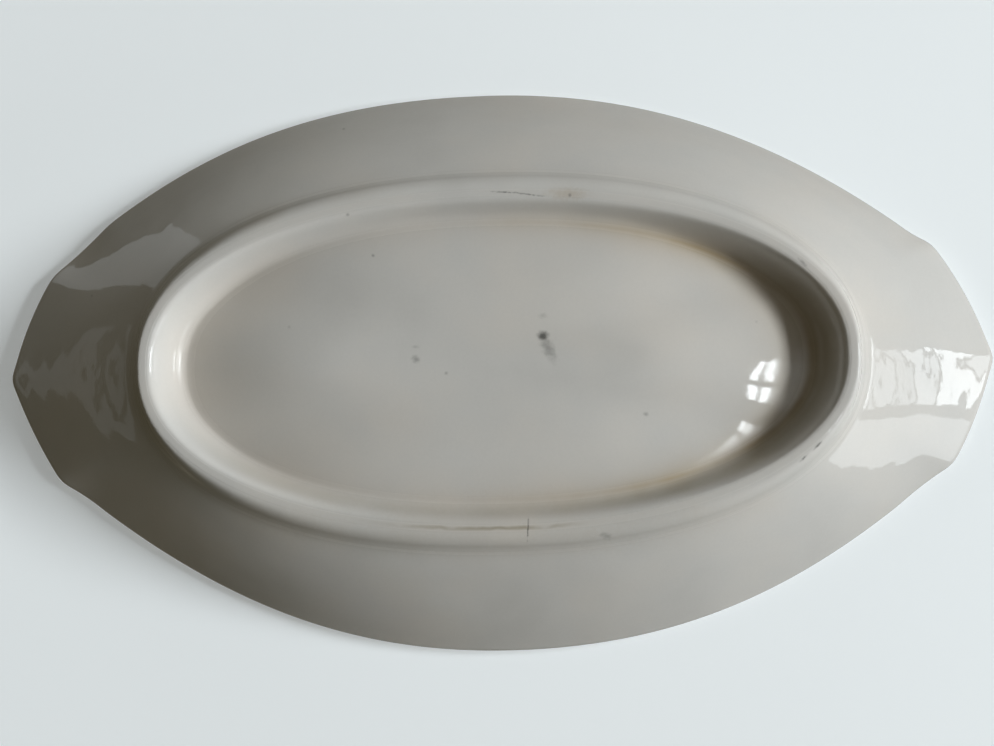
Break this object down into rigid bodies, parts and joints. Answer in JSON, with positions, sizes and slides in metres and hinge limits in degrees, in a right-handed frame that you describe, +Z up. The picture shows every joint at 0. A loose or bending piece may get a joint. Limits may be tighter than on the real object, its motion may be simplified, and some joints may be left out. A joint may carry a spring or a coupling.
{
  "type": "appetizer dish",
  "caption": "Boat-shaped oval hors d'oeuvre dish in cream glazed earthenware, with pointed bracket ends, a sloping wall and an oval foot ring around a recessed floor.",
  "frame": {"origin": "on the table, under the middle of the dish, at the level of the foot ring's worn crest", "axes": "+X along the length, +Y across the width, +Z up out of the food side"},
  "size_m": [0.24, 0.136, 0.027],
  "materials": {
    "clay": "bare fired earthenware, matte",
    "glaze": "glossy cream glaze with faint stains and pinholes"
  },
  "bodies": {
    "root": {"clay_body": "clay", "foot_ring": "clay", "glaze_coat": "glaze", "recess_glaze": "glaze"}
  },
  "joints": []
}
